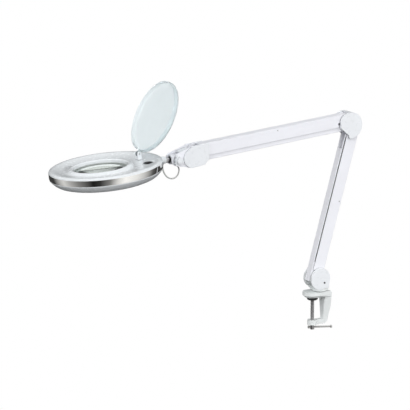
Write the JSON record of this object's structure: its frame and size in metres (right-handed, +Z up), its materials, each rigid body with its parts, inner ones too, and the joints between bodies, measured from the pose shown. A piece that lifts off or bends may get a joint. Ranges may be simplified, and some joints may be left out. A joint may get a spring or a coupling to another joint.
{
  "type": "magnifying lamp",
  "caption": "Table-clamp magnifying lamp: round lighted lens head with hinged cover on a two-link balanced parallel arm.",
  "frame": {"origin": "underside of the clamp's upper jaw, on the swivel axis", "axes": "+Z up along the swivel axis; the arm lies in the XZ plane with the lamp head towards -X"},
  "size_m": [0.7263, 0.237, 0.5744],
  "materials": {
    "white_cast": "white powder coat over cast iron or steel",
    "white_cover": "semi-gloss moulded cover",
    "white_coat": "satin white coating on sheet steel",
    "black_nylon": "black nylon",
    "black_pad": "black moulded pad",
    "black_screw": "black oxide",
    "bar_steel": "plated steel rod",
    "plated_steel": "zinc plated",
    "dark_screw": "dark socket screw",
    "spring_steel": "drawn wire",
    "black_rubber": "moulded rubber",
    "lead_jacket": "pale jacket",
    "white_rubber": "white rubber",
    "head_plastic": "gloss white moulding",
    "holder_plastic": "satin white moulding",
    "chrome_trim": "polished chrome",
    "lens_glass": "clear polished glass, slightly green",
    "cover_frosted": "frosted translucent plastic",
    "diffuser_frosted": "frosted plastic",
    "board": "circuit board",
    "led": "emitters",
    "switch_black": "glossy black"
  },
  "bodies": {
    "clamp": {"clamp_frame": "white_cast", "swivel_bush": "black_nylon"},
    "pressure_pad": {"pressure_pad": "black_pad"},
    "clamp_screw": {"clamp_screw": "black_screw"},
    "tommy_bar": {"tommy_bar": "bar_steel"},
    "base_bracket": {"base_fork": "white_cast", "swivel_pin": "plated_steel", "base_pins": "plated_steel", "base_cover_front": "white_cover", "base_cover_rear": "white_cover", "base_set_screw": "dark_screw"},
    "lower_outer": {"lower_channel_outer": "white_coat", "cord_grommet": "black_rubber", "lower_spring_anchor": "plated_steel", "lower_springs": "spring_steel"},
    "lower_inner": {"lower_channel_inner": "white_coat"},
    "elbow_bracket": {"elbow_fork": "white_coat", "elbow_pins": "plated_steel", "elbow_cover_front": "white_cover", "elbow_cover_rear": "white_cover"},
    "upper_outer": {"upper_channel_outer": "white_coat", "upper_spring_anchor": "plated_steel", "upper_springs": "spring_steel"},
    "upper_inner": {"upper_channel_inner": "white_coat"},
    "head_bracket": {"head_bracket": "white_coat", "bracket_insert": "white_cover", "head_end_pins": "plated_steel", "head_end_cover_front": "white_cover", "head_end_cover_rear": "white_cover", "tilt_bolt": "plated_steel", "tilt_washers": "plated_steel", "tilt_nut": "plated_steel"},
    "tilt_knob": {"tilt_knob": "white_cover"},
    "knuckle": {"knuckle": "white_coat", "neck_bush": "black_nylon"},
    "switch_rocker": {"switch_rocker": "switch_black"},
    "lens_cover": {"lens_cover": "cover_frosted"},
    "head": {"neck_stem": "plated_steel", "neck_ring": "plated_steel", "neck_lead": "lead_jacket", "lead_grommet": "white_rubber", "top_shell": "head_plastic", "chrome_band": "chrome_trim", "bottom_shell": "head_plastic", "lens_holder": "holder_plastic", "lens": "lens_glass", "lens_ring": "holder_plastic", "led_board": "board", "leds": "led", "diffuser": "diffuser_frosted", "driver_board": "board", "head_screws": "plated_steel", "switch_body": "switch_black", "cover_hinge_base": "head_plastic", "cover_hinge_pin": "plated_steel"}
  },
  "joints": [
    {"name": "base_swivel", "type": "hinge", "parent": "clamp", "child": "base_bracket", "pos_m": [0, 0, 0.014], "axis": [0, 0, 1], "continuous": true},
    {"name": "screw_travel", "type": "slide", "parent": "clamp", "child": "pressure_pad", "axis": [0, 0, -1], "range_m": [0, 0.045]},
    {"name": "screw_turn", "type": "hinge", "parent": "pressure_pad", "child": "clamp_screw", "pos_m": [-0.0176, 0, -0.03], "axis": [0, 0, 1], "range_deg": [0, 8101]},
    {"name": "bar_slide", "type": "slide", "parent": "clamp_screw", "child": "tommy_bar", "axis": [-0.9397, 0.342, 0], "range_m": [0, 0.035]},
    {"name": "shoulder", "type": "hinge", "parent": "base_bracket", "child": "lower_outer", "pos_m": [-0.0095, 0, 0.048], "axis": [0, 1, 0], "range_deg": [-65, 5], "deforming": ["lower_springs"]},
    {"name": "lower_parallel", "type": "hinge", "parent": "base_bracket", "child": "lower_inner", "pos_m": [-0.0235, 0, 0.042], "axis": [0, 1, 0], "range_deg": [-65, 5]},
    {"name": "elbow_level", "type": "hinge", "parent": "lower_outer", "child": "elbow_bracket", "pos_m": [0.08083, 0, 0.37371], "axis": [0, 1, 0], "range_deg": [-5, 65]},
    {"name": "elbow", "type": "hinge", "parent": "elbow_bracket", "child": "upper_outer", "pos_m": [0.05483, 0, 0.39231], "axis": [0, 1, 0], "range_deg": [-36, 50], "deforming": ["upper_springs"]},
    {"name": "upper_parallel", "type": "hinge", "parent": "elbow_bracket", "child": "upper_inner", "pos_m": [0.05083, 0, 0.37311], "axis": [0, 1, 0], "range_deg": [-36, 50]},
    {"name": "head_level", "type": "hinge", "parent": "upper_outer", "child": "head_bracket", "pos_m": [-0.3101, 0, 0.35331], "axis": [0, 1, 0], "range_deg": [-50, 36]},
    {"name": "tilt_knob_turn", "type": "hinge", "parent": "head_bracket", "child": "tilt_knob", "pos_m": [-0.357, -0.02, 0.33531], "axis": [0, 1, 0], "range_deg": [0, 360]},
    {"name": "head_tilt", "type": "hinge", "parent": "head_bracket", "child": "knuckle", "pos_m": [-0.357, 0, 0.33531], "axis": [0, 1, 0], "range_deg": [-90, 60], "deforming": ["neck_lead"]},
    {"name": "head_roll", "type": "hinge", "parent": "knuckle", "child": "head", "pos_m": [-0.357, 0, 0.33531], "axis": [1, 0, 0], "range_deg": [-90, 90], "deforming": ["neck_lead"]},
    {"name": "cover_hinge", "type": "hinge", "parent": "head", "child": "lens_cover", "pos_m": [-0.44026, 0, 0.35442], "axis": [0, 1, 0], "range_deg": [-125.4, 0]},
    {"name": "switch_rock", "type": "hinge", "parent": "head", "child": "switch_rocker", "pos_m": [-0.44113, -0.05, 0.33913], "axis": [0, 1, 0], "range_deg": [-7, 7]}
  ],
  "couplings": [
    {"joint": "screw_turn", "follows": "screw_travel", "rad_per_m": 3141.6},
    {"joint": "lower_parallel", "follows": "shoulder", "ratio": 1},
    {"joint": "elbow_level", "follows": "shoulder", "ratio": -1},
    {"joint": "upper_parallel", "follows": "elbow", "ratio": 1},
    {"joint": "head_level", "follows": "elbow", "ratio": -1}
  ]
}
